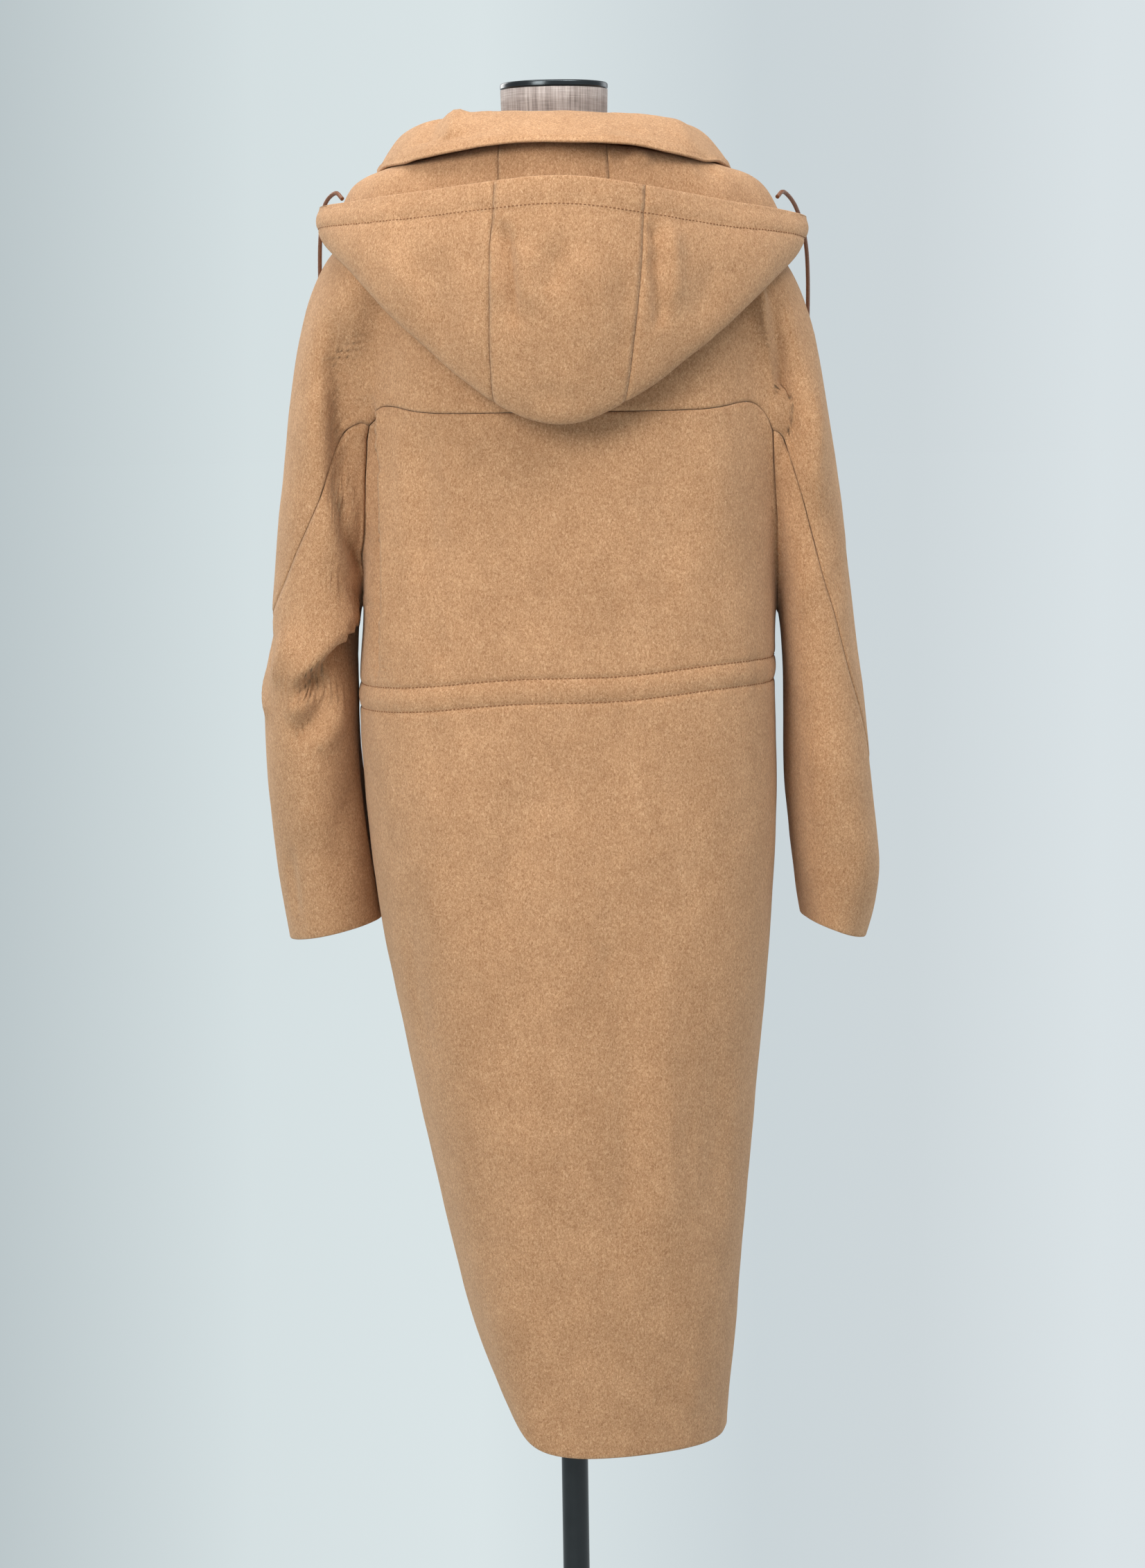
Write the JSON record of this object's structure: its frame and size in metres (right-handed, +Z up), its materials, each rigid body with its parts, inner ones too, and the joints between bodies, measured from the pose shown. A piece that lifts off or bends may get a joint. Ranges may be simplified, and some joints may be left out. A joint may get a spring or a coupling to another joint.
{
  "type": "long coat on dress form",
  "caption": "Long hooded wool coat with a kimono back yoke, folded-back hood and turned-down collar, worn by a limbless dress form on a pole with a round foot.",
  "frame": {"origin": "centre of the foot plate's underside, under the pole, on the surface the stand rests on", "axes": "+Z up along the pole; +Y towards the coat's back, which the picture shows; +X towards the coat's left side"},
  "size_m": [0.5821, 0.3865, 1.5998],
  "materials": {
    "wool": "brushed thick wool cloth with a short nap, camel colour",
    "leather": "round brown leather cord, low sheen",
    "linen": "grey-brown linen weave, matt",
    "dark_steel": "dark polished metal rim",
    "black_pole": "satin black",
    "black_foot": "satin black powder coat"
  },
  "bodies": {
    "root": {"yoke_back": "wool", "back_panel": "wool", "front_left": "wool", "front_right": "wool", "sleeve_left": "wool", "sleeve_right": "wool", "collar": "wool", "hood_middle": "wool", "hood_side_left": "wool", "hood_side_right": "wool", "drawcord_left": "leather", "drawcord_right": "leather", "form_torso": "linen", "neck_cap": "dark_steel", "pole": "black_pole", "foot_plate": "black_foot"}
  },
  "joints": []
}
